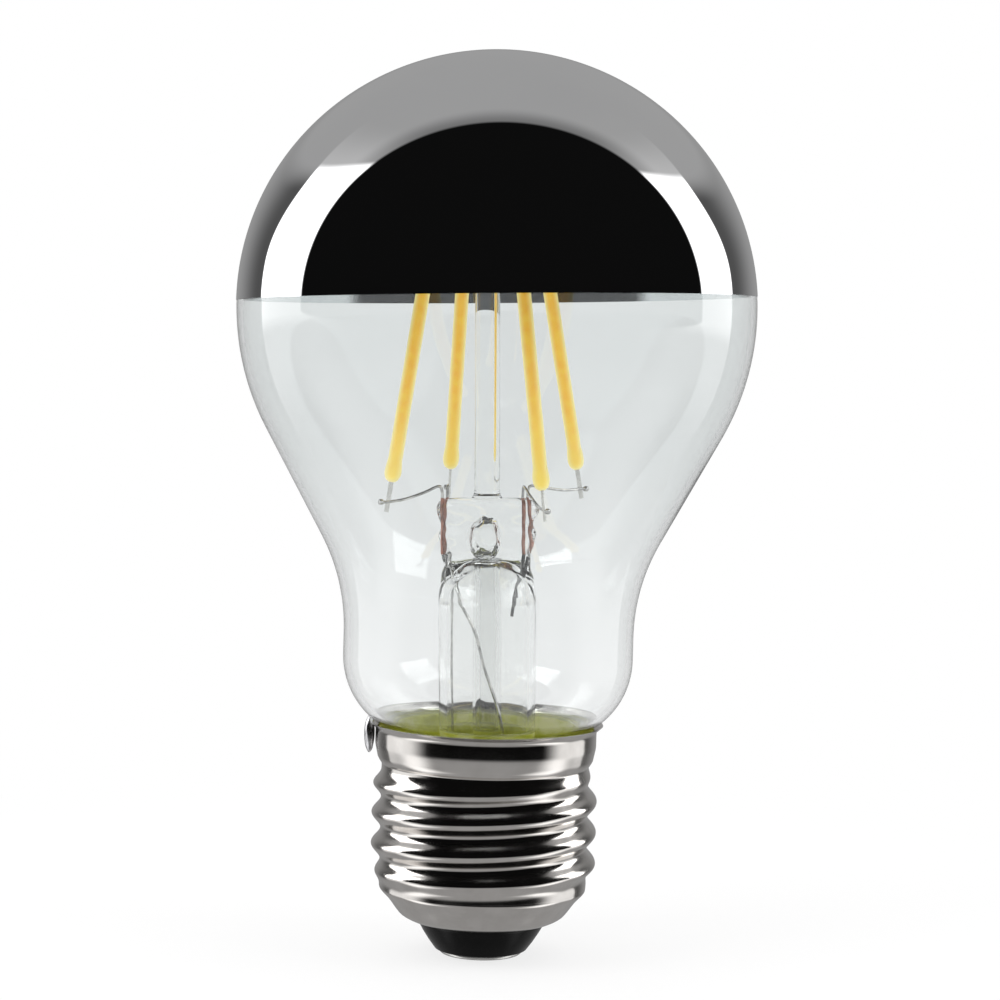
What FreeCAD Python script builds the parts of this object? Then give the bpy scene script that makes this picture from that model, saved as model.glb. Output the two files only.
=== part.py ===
import FreeCAD, Part
import math
import os

# Crown-mirrored LED filament bulb with a screw cap, in millimetres.
# The origin is the middle of the bottom contact and +Z runs up the bulb's axis.

Vector = FreeCAD.Vector
UP = Vector(0, 0, 1)
BASE = Vector(0, 0, 0)

# Glass envelope, from the globe down to the neck and the tuck into the cap
globe_radius = 29.9
glass_wall = 0.7
flank_angle = 28.6
flank_blend_radius = 23.0
neck_radius = 16.8
neck_straight_length = 2.8
neck_rise = 7.69
tuck_radius = 9.4
spigot_blend_radius = 1.5
spigot_length = 6.9

# Mirror coat on the crown, its edge lying a little out of square
mirror_thickness = 0.1
mirror_clearance = 0.03
mirror_edge_rise = 1.2
mirror_edge_tilt = 1.9

# Screw cap, rolled from thin sheet with a knuckle thread
sheet = 0.25
thread_root_radius = 12.05
thread_crest_radius = 13.1
thread_pitch = 3.629
thread_start_height = 7.8
thread_end_height = 22.2
thread_fade = 3.0
rings_per_pitch = 6
points_per_ring = 12
least_thread_depth = 1e-6
collar_radius = 12.85
collar_height = 4.2
rim_radius = 13.6
rim_flare_height = 0.8
shoulder_height = 0.6
bowl_hole_radius = 7.6
bowl_bottom_height = 3.9
bowl_corner_radius = 3.2
bowl_corner_turn = 60.0

# Bottom contact and the insulator that holds it
contact_radius = 4.85
contact_thickness = 0.5
contact_edge_radius = 0.35
eyelet_radius = 1.2
eyelet_wall = 0.3
insulator_foot_radius = 5.5
insulator_bulge = 0.15
insulator_plug_overlap = 0.9
insulator_plug_height = 1.6
fit_clearance = 0.05

# Cement ring that bonds the cap to the glass
cement_depth = 7.0
cement_gap = 0.8

# Solder that joins the side lead to the cap's rim
side_solder_width = 2.2
side_solder_height = 4.2
side_solder_bulge = 0.9

# Stem: flare tube, press, exhaust tube and support rod, leaning together
stem_lean = 1.4
stem_pivot_rise = 12.85
crown_clearance = 13.2
flare_tube_radius = 5.65
flare_wall = 0.9
flare_lip_thickness = 0.8
flare_skirt_height = 4.5
press_length = 7.3
press_bottom_width = 10.4
press_top_width = 11.85
press_thickness = 3.8
press_shoulder_height = 3.6
press_shoulder_share = 0.6
press_shoulder_width = 11.0
press_shoulder_depth = 6.4
round_corner = (math.sqrt(0.5), math.sqrt(0.5))
shoulder_corner = (0.76, 0.76)
press_corner = (0.86, 0.84)
blow_hole_width = 3.0
blow_hole_length = 4.8
blow_hole_drop = 4.3
exhaust_radius = 1.65
exhaust_bore_radius = 0.9
exhaust_drop = 4.55
rod_radius = 1.45
rod_cover = 1.2
rod_head_radius = 2.1
rod_head_height = 3.8

# Wires
lead_radius = 0.2
dumet_radius = 0.22
link_radius = 0.2
lead_ball_radius = 0.36
seal_depth = 6.4
left_seal_distance = 4.9
right_seal_distance = 4.4
seal_pair_spacing = 1.1
hook_rise = 1.5
hook_share = 0.3
lead_overrun = 1.3
weld_clearance = 0.07
lead_step = 1.0
stub_lengths = (5.2, 1.4)
stub_slope = 6.0

# Filaments: plan angles from +X, and the heights of the lower welds over the press
filament_angles = (197.0, 113.0, 303.0, 22.0)
lower_weld_rises = (-0.2, 0.7, -0.8, 0.9)
lower_weld_radius = 12.0
filament_lean = 9.8
filament_body_length = 31.0
filament_body_radius = 0.82
filament_end_radius = 0.95
filament_bulb_length = 2.4
filament_tip_radius = 0.5
strip_width = 0.8
strip_thickness = 0.4
strip_inset = 0.6
pin_width = 0.6
pin_thickness = 0.12
pin_length = 3.5

# Driver inside the cap
board_length = 13.0
board_width = 9.0
board_thickness = 0.8
board_rise = 1.8
rectifier_size = (4.7, 3.5, 1.5)
chip_size = (4.9, 3.9, 1.4)
capacitor_radius = 2.0
capacitor_length = 5.0
resistor_radius = 0.9
resistor_length = 4.2
part_spacing = 0.5


def turned(outline):
    """A solid of revolution; an item is a point (radius, height) or an arc (middle, end)."""
    points = []
    edges = []
    for item in outline:
        arc = isinstance(item[0], tuple)
        end = Vector(item[-1][0], 0, item[-1][1]) if arc else Vector(item[0], 0, item[1])
        if points and arc:
            middle = Vector(item[0][0], 0, item[0][1])
            edges.append(Part.Arc(points[-1], middle, end).toShape())
        elif points:
            edges.append(Part.LineSegment(points[-1], end).toShape())
        points.append(end)
    edges.append(Part.LineSegment(points[-1], points[0]).toShape())
    return Part.Face(Part.Wire(edges)).revolve(BASE, UP, 360)


def arc(centre, radius, start_angle, end_angle):
    """The middle and the end of an arc in the half plane, for an outline."""
    found = []
    for angle in ((start_angle + end_angle) / 2, end_angle):
        turn = math.radians(angle)
        found.append((centre[0] + radius * math.cos(turn), centre[1] + radius * math.sin(turn)))
    return tuple(found)


def lean(shape):
    """The shape turned with the stem, towards -X at the top."""
    leaning = shape.copy()
    leaning.rotate(Vector(0, 0, stem_pivot_height), Vector(0, 1, 0), -stem_lean)
    return leaning


def plan(angle, radius, height):
    turn = math.radians(angle)
    return Vector(radius * math.cos(turn), radius * math.sin(turn), height)


def wire_along(points, radius):
    """A round wire along straight runs between the points, mitred at its bends."""
    path = Part.makePolygon(points)
    section = Part.Wire(Part.makeCircle(radius, points[0], points[1] - points[0]))
    mitred = 1
    return path.makePipeShell([section], True, False, mitred)


def rod_between(start, end, radius):
    return Part.makeCylinder(radius, (end - start).Length, start, end - start)


# Outline of the envelope, from the cap up, so that each stretch is tangent to the next
spigot_radius = thread_root_radius - sheet - cement_gap
rim_height = thread_end_height + shoulder_height + collar_height
flank = math.radians(flank_angle)
tuck_centre = (neck_radius - tuck_radius, rim_height + neck_rise)
neck_top_height = tuck_centre[1] + neck_straight_length
blend_centre_radius = neck_radius + flank_blend_radius
blend_top_radius = blend_centre_radius - flank_blend_radius * math.cos(flank)
blend_top_height = neck_top_height + flank_blend_radius * math.sin(flank)
flank_top_radius = globe_radius * math.cos(flank)
flank_top = (flank_top_radius, blend_top_height + (flank_top_radius - blend_top_radius) / math.tan(flank))
globe_centre_height = flank_top[1] + globe_radius * math.sin(flank)
mirror_edge_height = globe_centre_height + mirror_edge_rise
spigot_centre_radius = spigot_radius + spigot_blend_radius
tuck_reach = tuck_radius + spigot_blend_radius
tuck_angle = math.degrees(math.acos((spigot_centre_radius - tuck_centre[0]) / tuck_reach))
spigot_top_height = tuck_centre[1] - tuck_reach * math.sin(math.radians(tuck_angle))
seal_height = spigot_top_height - spigot_length

filament_slope = math.radians(filament_lean)
filament_length = filament_body_length + 2 * pin_length
pin_side = link_radius + pin_thickness / 2 + weld_clearance


def link_pairs():
    """Filaments whose upper pins a wire joins, by their places in the lists above."""
    return ((0, 3), (2, 1))


def link_rise(first, second):
    """How far over the press a link wire crosses the rod."""
    weld_rise = (lower_weld_rises[first] + lower_weld_rises[second]) / 2
    return weld_rise + (filament_length - lead_overrun) * math.cos(filament_slope)


# Heights along the stem, with the rod's top a set distance under the crown
rod_length = max(link_rise(first, second) for first, second in link_pairs()) + rod_cover
rod_top_height = globe_centre_height + globe_radius - glass_wall - crown_clearance
press_top_height = rod_top_height - rod_length
stem_pivot_height = seal_height + stem_pivot_rise
press_bottom_height = press_top_height - press_length
blow_hole_height = press_top_height - blow_hole_drop
exhaust_tip_height = seal_height - exhaust_drop

# Heights inside the cap, from the contact up
plug_bottom = bowl_bottom_height + sheet + insulator_plug_overlap + fit_clearance
plug_top = plug_bottom + insulator_plug_height
board_height = plug_top + board_rise
board_top = board_height + board_thickness


def envelope_solid(inset, bottom):
    """The filled envelope, its surface moved inwards by the inset."""
    return turned(
        [
            (0, bottom),
            (spigot_radius - inset, bottom),
            (spigot_radius - inset, spigot_top_height),
            arc(
                (spigot_centre_radius, spigot_top_height),
                spigot_blend_radius + inset,
                180,
                180 - tuck_angle,
            ),
            arc(tuck_centre, tuck_radius - inset, -tuck_angle, 0),
            (neck_radius - inset, neck_top_height),
            arc(
                (blend_centre_radius, neck_top_height),
                flank_blend_radius + inset,
                180,
                180 - flank_angle,
            ),
            (
                flank_top[0] - inset * math.cos(flank),
                flank_top[1] + inset * math.sin(flank),
            ),
            arc((0, globe_centre_height), globe_radius - inset, -flank_angle, 90),
        ]
    )


def glass_envelope():
    return envelope_solid(0, seal_height).cut(envelope_solid(glass_wall, seal_height - glass_wall))


def silvered_crown():
    inside = globe_radius + mirror_clearance
    centre = Vector(0, 0, globe_centre_height)
    coat = Part.makeSphere(inside + mirror_thickness, centre).cut(Part.makeSphere(inside, centre))
    reach = 2 * globe_radius
    above = Part.makeBox(2 * reach, 2 * reach, reach, Vector(-reach, -reach, mirror_edge_height))
    above.rotate(Vector(0, 0, mirror_edge_height), Vector(0, 1, 0), -mirror_edge_tilt)
    return coat.common(above)


def eased(share):
    share = min(1, max(0, share))
    return share * share * (3 - 2 * share)


def thread_ring(height, inset):
    """One level cut through the thread: a circle with the crest passing round it."""
    depth = (thread_crest_radius - thread_root_radius) / 2
    depth *= eased((height - thread_start_height) / thread_fade)
    depth *= eased((thread_end_height - height) / thread_fade)
    if depth < least_thread_depth:
        return Part.Wire(Part.makeCircle(thread_root_radius - inset, Vector(0, 0, height)))
    points = []
    for step in range(points_per_ring):
        turn = 2 * math.pi * step / points_per_ring
        phase = 2 * math.pi * (height - thread_start_height) / thread_pitch - turn
        radius = thread_root_radius - inset + depth * (1 + math.cos(phase))
        points.append(Vector(radius * math.cos(turn), radius * math.sin(turn), height))
    curve = Part.BSplineCurve()
    curve.interpolate(points, PeriodicFlag=True)
    return Part.Wire(curve.toShape())


def cap_solid(inset):
    """The filled screw cap, its surface moved inwards by the inset."""
    length = thread_end_height - thread_start_height
    rings = round(length / thread_pitch * rings_per_pitch)
    heights = [thread_start_height + length * step / rings for step in range(rings + 1)]
    thread = Part.makeLoft([thread_ring(height, inset) for height in heights], True, True)
    root = thread_root_radius - inset
    corner = bowl_corner_radius - inset
    corner_centre = (root - corner, thread_start_height)
    corner_turn = math.radians(bowl_corner_turn)
    corner_start = (
        corner_centre[0] + corner * math.cos(corner_turn),
        corner_centre[1] - corner * math.sin(corner_turn),
    )
    bowl = turned(
        [
            (0, bowl_bottom_height + inset),
            (bowl_hole_radius, bowl_bottom_height + inset),
            corner_start,
            arc(corner_centre, corner, -bowl_corner_turn, 0),
            (0, thread_start_height),
        ]
    )
    collar = collar_radius - inset
    collar_bottom = thread_end_height + shoulder_height
    rim = rim_radius - inset
    top = turned(
        [
            (0, thread_end_height),
            (root, thread_end_height),
            (collar, collar_bottom),
            (collar, rim_height - rim_flare_height),
            (rim, rim_height),
            (0, rim_height),
        ]
    )
    return thread.fuse([bowl, top])


def cap_shell():
    inner = cap_solid(sheet)
    mouth = Part.makeCylinder(rim_radius - sheet, sheet, Vector(0, 0, rim_height - sheet / 2))
    hole = Part.makeCylinder(bowl_hole_radius, 2 * sheet, Vector(0, 0, bowl_bottom_height - sheet / 2))
    return cap_solid(0).cut([inner, mouth, hole])


def cap_insulator():
    """Black glass moulded through the bottom of the cap, around the contact's eyelet."""
    hole = bowl_hole_radius - fit_clearance
    plug = hole + insulator_plug_overlap
    bore = eyelet_radius + fit_clearance
    side_middle = (
        (hole + insulator_foot_radius) / 2 + insulator_bulge,
        (bowl_bottom_height + contact_thickness) / 2 - insulator_bulge,
    )
    return turned(
        [
            (bore, contact_thickness),
            (insulator_foot_radius, contact_thickness),
            (side_middle, (hole, bowl_bottom_height)),
            (hole, plug_bottom - insulator_plug_overlap / 2),
            (plug, plug_bottom),
            (plug, plug_top),
            (bore, plug_top),
        ]
    )


def centre_contact():
    """Disc with a rolled edge and a hollow eyelet that the centre lead is soldered into."""
    eyelet_top = bowl_bottom_height
    flat = contact_radius - contact_edge_radius
    edge = arc((flat, contact_edge_radius), contact_edge_radius, -90, 0)
    return turned(
        [
            (0, 0),
            (flat, 0),
            edge,
            (contact_radius, contact_thickness),
            (eyelet_radius, contact_thickness),
            (eyelet_radius, eyelet_top),
            (eyelet_radius - eyelet_wall, eyelet_top),
            (eyelet_radius - eyelet_wall, contact_thickness),
            (0, contact_thickness),
        ]
    )


def capping_cement():
    """Cement between the cap's collar and the glass, dished a little at its top."""
    inside = spigot_radius + fit_clearance
    root = thread_root_radius - sheet - fit_clearance
    collar = collar_radius - sheet - fit_clearance
    collar_bottom = thread_end_height + shoulder_height + fit_clearance
    top = rim_height - rim_flare_height
    ring = turned(
        [
            (inside, top - cement_depth),
            (root, top - cement_depth),
            (root, collar_bottom),
            (collar, collar_bottom + shoulder_height),
            (collar, top),
            (inside, top),
        ]
    )
    return ring.cut(envelope_solid(-fit_clearance, seal_height - glass_wall))


def side_contact_solder(lead):
    """Bead over the side lead where it comes over the cap's rim."""
    bead_centre = Vector(-(collar_radius + side_solder_bulge / 2), 0, rim_height - side_solder_height / 2)
    bead = Part.makeSphere(side_solder_height / 2, bead_centre)
    squash = FreeCAD.Matrix()
    squash.scale(2 * side_solder_bulge / side_solder_height, side_solder_width / side_solder_height, 1)
    bead.translate(bead_centre.negative())
    bead = bead.transformGeometry(squash)
    bead.translate(bead_centre)
    outside = cap_solid(-fit_clearance)
    return bead.cut([outside, lead])


def ring(height, width, depth, corner):
    """A level closed curve of four arcs that meet at corners, given as shares of each half."""
    across = width / 2 * corner[0]
    along = depth / 2 * corner[1]
    corners = [
        Vector(across, -along, height),
        Vector(across, along, height),
        Vector(-across, along, height),
        Vector(-across, -along, height),
    ]
    middles = [
        Vector(width / 2, 0, height),
        Vector(0, depth / 2, height),
        Vector(-width / 2, 0, height),
        Vector(0, -depth / 2, height),
    ]
    arcs = [
        Part.Arc(corners[side], middles[side], corners[(side + 1) % 4]).toShape()
        for side in range(4)
    ]
    return Part.Wire(arcs)


def stem_flare(buried):
    """Flare tube, its skirt sealed to the envelope below and pressed flat around the wires above."""
    tube_top = press_bottom_height - press_shoulder_height
    shoulder_middle = tube_top + press_shoulder_height * press_shoulder_share
    width = 2 * flare_tube_radius
    outline = Part.makeLoft(
        [
            ring(seal_height, width, width, round_corner),
            ring(tube_top, width, width, round_corner),
            ring(shoulder_middle, press_shoulder_width, press_shoulder_depth, shoulder_corner),
            ring(press_bottom_height, press_bottom_width, press_thickness, press_corner),
            ring(press_top_height, press_top_width, press_thickness, press_corner),
        ],
        True,
        True,
    )
    hollow_radius = flare_tube_radius - flare_wall
    hollow = turned(
        [
            (0, seal_height - flare_wall),
            (hollow_radius, seal_height - flare_wall),
            (hollow_radius, tube_top),
            (hollow_radius / 2, tube_top + press_shoulder_height / 2),
            (0, tube_top + press_shoulder_height / 2),
        ]
    )
    outside = lean(outline)
    inside = lean(hollow)
    skirt_top = seal_height + flare_skirt_height
    lip_bottom = seal_height - flare_lip_thickness
    skirt_outer = turned(
        [
            (0, lip_bottom),
            (spigot_radius, lip_bottom),
            (spigot_radius, seal_height),
            (spigot_radius - glass_wall - fit_clearance, seal_height),
            (flare_tube_radius - flare_wall / 2, skirt_top),
            (0, skirt_top),
        ]
    )
    skirt_inner = turned(
        [
            (0, lip_bottom),
            (spigot_radius - 2 * glass_wall, lip_bottom),
            (hollow_radius - flare_wall / 2, skirt_top - flare_lip_thickness),
            (0, skirt_top - flare_lip_thickness),
        ]
    )
    hole = Part.makeCylinder(
        blow_hole_width / 2, press_thickness * 2, Vector(0, -press_thickness, 0), Vector(0, 1, 0)
    )
    stretch = FreeCAD.Matrix()
    stretch.scale(1, 1, blow_hole_length / blow_hole_width)
    hole = hole.transformGeometry(stretch)
    hole.translate(Vector(0, 0, blow_hole_height))
    below_lip = Part.makeBox(
        4 * spigot_radius,
        4 * spigot_radius,
        spigot_radius,
        Vector(-2 * spigot_radius, -2 * spigot_radius, lip_bottom - spigot_radius),
    )
    solid = outside.fuse(skirt_outer).cut([inside, skirt_inner, lean(hole), below_lip])
    return solid.cut(buried)


def exhaust_tube():
    """Tube from the press down into the cap, melted shut at its lower end."""
    top = blow_hole_height - blow_hole_length / 2
    round_radius = exhaust_radius
    tip = exhaust_tip_height + round_radius
    outer = turned(
        [
            (0, exhaust_tip_height),
            arc((0, tip), round_radius, -90, 0),
            (exhaust_radius, top),
            (0, top),
        ]
    )
    bore = Part.makeCylinder(exhaust_bore_radius, top - exhaust_tip_height, Vector(0, 0, tip))
    return lean(outer.cut(bore))


def support_rod(wires):
    """Glass rod on the press; its swollen head holds the two link wires."""
    neck = rod_top_height - rod_head_height
    middle = (neck + rod_top_height) / 2
    rod = turned(
        [
            (0, press_top_height),
            (rod_radius, press_top_height),
            (rod_radius, neck),
            ((rod_head_radius, middle), (rod_radius, rod_top_height)),
            (0, rod_top_height),
        ]
    )
    return lean(rod).cut(wires)


def filament_point(number, along):
    """A point on a filament's axis, this far along it from its lower end."""
    return plan(
        filament_angles[number],
        lower_weld_radius - along * math.sin(filament_slope),
        press_top_height + lower_weld_rises[number] + along * math.cos(filament_slope),
    )


def beside(number, point):
    """The same point moved sideways, to where a wire lies against the flat pin."""
    turn = math.radians(filament_angles[number])
    return point + Vector(-math.sin(turn), math.cos(turn), 0) * pin_side


def upright(number, shape):
    """A shape drawn along +Z with +X outwards, put in a filament's place."""
    placed = shape.copy()
    placed.rotate(BASE, Vector(0, 1, 0), -filament_lean)
    placed.rotate(BASE, UP, filament_angles[number])
    placed.translate(filament_point(number, 0))
    return lean(placed)


def flat_bar(width, thickness, start, end):
    return Part.makeBox(width, thickness, end - start, Vector(-width / 2, -thickness / 2, start))


def filament_parts():
    """Coat, strip and two pins of one filament, drawn along +Z."""
    start = pin_length
    end = start + filament_body_length
    swell = filament_bulb_length
    strip = flat_bar(strip_width, strip_thickness, start + strip_inset, end - strip_inset)
    lower = flat_bar(pin_width, pin_thickness, 0, start + strip_inset)
    upper = flat_bar(pin_width, pin_thickness, end - strip_inset, end + pin_length)
    coat = turned(
        [
            (0, start),
            (filament_tip_radius, start),
            (filament_end_radius, start + swell / 2),
            (filament_body_radius, start + swell),
            (filament_body_radius, end - swell),
            (filament_end_radius, end - swell / 2),
            (filament_tip_radius, end),
            (0, end),
        ]
    ).cut([strip, lower, upper])
    return {"phosphor": coat, "strip": strip, "lower_pin": lower, "upper_pin": upper}


def seal_place(number, height):
    """Where the wire of a filament's lead crosses the press, at a height."""
    left = number < len(filament_angles) / 2
    distance = -left_seal_distance if left else right_seal_distance
    side = -1 if number in (0, 2) else 1
    return Vector(distance + side * seal_pair_spacing / 4, side * seal_pair_spacing / 2, height)


def inner_lead(number):
    """Wire from the press out to a filament's lower pin, with a balled end."""
    bottom = seal_place(number, press_top_height)
    rise = seal_place(number, press_top_height + hook_rise)
    weld = beside(number, filament_point(number, lead_overrun))
    past = weld + plan(filament_angles[number], lead_overrun, 0)
    shoulder = rise + (weld - rise) * hook_share
    wire = wire_along([bottom, rise, shoulder, weld, past], lead_radius)
    ball = Part.makeSphere(lead_ball_radius, past)
    return lean(wire.fuse(ball)).cut(dumet_seal(number))


def dumet_seal(number):
    return lean(
        rod_between(
            seal_place(number, press_top_height - seal_depth),
            seal_place(number, press_top_height),
            dumet_radius,
        )
    )


def link_weld(number):
    """Where a link wire lies against a filament's upper pin."""
    return beside(number, filament_point(number, filament_length - lead_overrun))


def link_wire(first, second):
    """Wire across the rod's head between the upper pins of two filaments."""
    start = link_weld(first)
    end = link_weld(second)
    middle = Vector(0, 0, press_top_height + link_rise(first, second))
    out_first = start + plan(filament_angles[first], lead_overrun / 2, 0)
    out_second = end + plan(filament_angles[second], lead_overrun / 2, 0)
    return lean(wire_along([out_first, start, middle, end, out_second], link_radius))


def save(name, shape):
    solids = shape.Solids
    whole = solids[0] if len(solids) == 1 else Part.makeCompound(solids)
    whole.exportStep(os.path.join("parts", name + ".step"))
    print(name, len(solids), whole.isValid(), round(whole.Volume, 2))


def flare_leads():
    """The two wires that run from the press down through the flare tube to the driver."""
    seal_bottom = press_top_height - seal_depth
    inside = flare_tube_radius - flare_wall - 3 * lead_radius
    tube_bottom = seal_height + flare_skirt_height
    left = [
        seal_place(0, seal_bottom),
        seal_place(0, seal_bottom - lead_step) + Vector(2 * lead_radius, 0, 0),
        Vector(-inside, 0, press_bottom_height - press_shoulder_height - lead_step),
        Vector(-inside, 0, tube_bottom),
        Vector(-board_length / 3, 0, board_top + 2 * lead_step),
        Vector(-board_length / 3, 0, board_top),
    ]
    front = -(exhaust_radius + 4 * lead_radius)
    crossing = [
        seal_place(1, seal_bottom),
        seal_place(1, seal_bottom - lead_step) + Vector(2 * lead_radius, -lead_radius, 0),
        Vector(-inside / 2, front, press_bottom_height - press_shoulder_height - 2 * lead_step),
        Vector(inside / 3, front, tube_bottom + 2 * lead_step),
        Vector(part_spacing, front, exhaust_tip_height + lead_step),
        Vector(part_spacing, front / 2, board_top + lead_step),
        Vector(part_spacing, front / 2, board_top),
    ]
    return {"outer_lead_left": left, "outer_lead_crossing": crossing}


def cut_stubs():
    """Short ends left where two spare wires were snipped under the press."""
    seal_bottom = press_top_height - seal_depth
    stubs = {}
    for index, length in enumerate(stub_lengths):
        number = index + 2
        top = seal_place(number, seal_bottom)
        bottom = top + Vector(-length / stub_slope, 0, -length)
        snipped = lean(rod_between(top, bottom, lead_radius))
        stubs["cut_stub_%d" % (index + 1)] = snipped.cut(dumet_seal(number))
    return stubs


def block(size, corner):
    return Part.makeBox(size[0], size[1], size[2], corner)


def driver(leads):
    """Board inside the cap with the parts that feed the filaments."""
    board = block(
        (board_length, board_width, board_thickness),
        Vector(-board_length / 2, -board_width / 2, board_height),
    )
    rear = board_width / 2 - part_spacing
    parts = {
        "bridge_rectifier": block(
            rectifier_size,
            Vector(-board_length / 2 + part_spacing, rear - rectifier_size[1], board_top),
        ),
        "driver_chip": block(
            chip_size,
            Vector(board_length / 2 - part_spacing - chip_size[0], rear - chip_size[1], board_top),
        ),
        "smoothing_capacitor": Part.makeCylinder(
            capacitor_radius,
            capacitor_length,
            Vector(
                -board_length / 2 + part_spacing,
                -capacitor_radius - part_spacing,
                board_top + capacitor_radius,
            ),
            Vector(1, 0, 0),
        ),
        "fuse_resistor": Part.makeCylinder(
            resistor_radius,
            resistor_length,
            Vector(
                board_length / 2 - part_spacing - resistor_length,
                -board_width / 3,
                board_top + resistor_radius,
            ),
            Vector(1, 0, 0),
        ),
    }
    parts["driver_board"] = board.cut(leads)
    return parts


def mains_leads():
    """Wires from the driver to the cap's rim and to the bottom contact."""
    edge = -(board_length / 2 - 2 * lead_radius)
    beside_neck = -(thread_root_radius - sheet - 2 * lead_radius - fit_clearance)
    side = [
        Vector(edge, 0, board_top + fit_clearance),
        Vector(edge, 0, board_top + lead_step),
        Vector((edge + beside_neck) / 2, 0, board_top + 3.5 * lead_step),
        Vector(beside_neck, 0, seal_height - flare_lip_thickness),
        Vector(beside_neck, 0, spigot_top_height),
    ]
    centre = [
        Vector(0, 0, contact_thickness + fit_clearance),
        Vector(0, 0, bowl_bottom_height),
        Vector(0, 0, plug_top),
        Vector(board_length / 4, board_width / 5, board_height - lead_step / 2),
        Vector(board_length / 4, board_width / 5, board_height - fit_clearance),
    ]
    return {
        "mains_lead_side": wire_along(side, lead_radius),
        "mains_lead_centre": wire_along(centre, lead_radius),
    }


os.makedirs("parts", exist_ok=True)

envelope = glass_envelope()
save("glass_envelope", envelope)
save("silvered_crown", silvered_crown())
shell = cap_shell()
save("cap_shell", shell)
save("cap_insulator", cap_insulator())
save("centre_contact", centre_contact())
mains = mains_leads()
for name, shape in mains.items():
    save(name, shape)
save("capping_cement", capping_cement().cut(mains["mains_lead_side"]))
save("side_contact_solder", side_contact_solder(mains["mains_lead_side"]))

seals = [dumet_seal(number) for number in range(len(filament_angles))]
for number, shape in enumerate(seals):
    save("dumet_seal_%d" % (number + 1), shape)
exhaust = exhaust_tube()
save("exhaust_tube", exhaust)
routes = {name: lean(wire_along(route, lead_radius)).cut(seals) for name, route in flare_leads().items()}
for name, shape in routes.items():
    save(name, shape)
stubs = cut_stubs()
for name, shape in stubs.items():
    save(name, shape)
save("stem_flare", stem_flare(seals + [exhaust] + list(routes.values()) + list(stubs.values())))

links = [link_wire(first, second) for first, second in link_pairs()]
save("link_wire_upper", links[0])
save("link_wire_lower", links[1])
save("support_rod", support_rod(links))
for number in range(len(filament_angles)):
    save("inner_lead_%d" % (number + 1), inner_lead(number))
    for part_name, shape in filament_parts().items():
        save("filament_%d_%s" % (number + 1, part_name), upright(number, shape))
for name, shape in driver(list(routes.values())).items():
    save(name, shape)
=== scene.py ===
import math

import bmesh
import bpy
from mathutils import Matrix, Vector, noise


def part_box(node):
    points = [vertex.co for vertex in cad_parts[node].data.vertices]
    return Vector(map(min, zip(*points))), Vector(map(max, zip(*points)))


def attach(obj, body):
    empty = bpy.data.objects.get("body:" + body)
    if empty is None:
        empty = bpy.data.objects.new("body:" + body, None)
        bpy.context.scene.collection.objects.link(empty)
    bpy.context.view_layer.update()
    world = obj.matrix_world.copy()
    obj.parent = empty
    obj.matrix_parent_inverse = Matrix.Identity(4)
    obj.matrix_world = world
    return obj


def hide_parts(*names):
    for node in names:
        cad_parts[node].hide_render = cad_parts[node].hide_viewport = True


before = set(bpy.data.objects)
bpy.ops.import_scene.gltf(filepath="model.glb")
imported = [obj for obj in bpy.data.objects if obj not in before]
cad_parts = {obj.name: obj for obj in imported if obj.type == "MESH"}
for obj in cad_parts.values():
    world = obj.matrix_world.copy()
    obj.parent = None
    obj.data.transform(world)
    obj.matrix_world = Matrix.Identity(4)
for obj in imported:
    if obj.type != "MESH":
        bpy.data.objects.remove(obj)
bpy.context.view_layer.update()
mm = 0.001
print("stage: frame loaded")

# Mesh helpers, with sizes in millimetres


def shadeSmooth(mesh, smooth):
    mesh.polygons.foreach_set("use_smooth", [smooth] * len(mesh.polygons))


def newPiece(name, points, faces):
    mesh = bpy.data.meshes.new(name)
    mesh.from_pydata([Vector(point) * mm for point in points], [], faces)
    mesh.validate()
    shadeSmooth(mesh, True)
    mesh.update()
    piece = bpy.data.objects.new(name, mesh)
    bpy.context.scene.collection.objects.link(piece)
    return piece


def arcPoints(centre, radius, start, end, count):
    found = []
    for step in range(count + 1):
        turn = math.radians(start + (end - start) * step / count)
        found.append((centre[0] + radius * math.cos(turn), centre[1] + radius * math.sin(turn)))
    return found


def ringFaces(rows, steps, closed=False, start=0):  # quads between rings of points, one ring after another
    faces = []
    for row in range(rows if closed else rows - 1):
        low = start + row * steps
        high = start + (row + 1) % rows * steps
        for step in range(steps):
            side = (step + 1) % steps
            faces.append((low + step, low + side, high + side, high + step))
    return faces


# Points and faces of an outline of (radius, height) turned about the axis
def turnedMesh(outline, steps, closed=False, shape=None):
    points = []
    for radius, height in outline:
        for step in range(steps):
            turn = 2 * math.pi * step / steps
            point = Vector((radius * math.cos(turn), radius * math.sin(turn), height))
            points.append(shape(point, turn) if shape else point)
    return points, ringFaces(len(outline), steps, closed)


def turnedPiece(name, outline, steps=128, closed=True, shape=None):
    points, faces = turnedMesh(outline, steps, closed, shape)
    piece = newPiece(name, points, faces)
    joinPoles(piece)
    return piece


def joinPoles(piece):  # merges the points that lie on the axis and turns every face outwards
    work = bmesh.new()
    work.from_mesh(piece.data)
    bmesh.ops.remove_doubles(work, verts=work.verts, dist=1e-7)
    bmesh.ops.recalc_face_normals(work, faces=work.faces)
    work.to_mesh(piece.data)
    work.free()
    shadeSmooth(piece.data, True)


def sharpen(piece, angle=35):  # keeps the edges of a smooth piece crisp where it turns a corner
    work = bmesh.new()
    work.from_mesh(piece.data)
    for edge in work.edges:
        if len(edge.link_faces) == 2 and edge.calc_face_angle(0) > math.radians(angle):
            edge.smooth = False
    work.to_mesh(piece.data)
    work.free()


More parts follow.
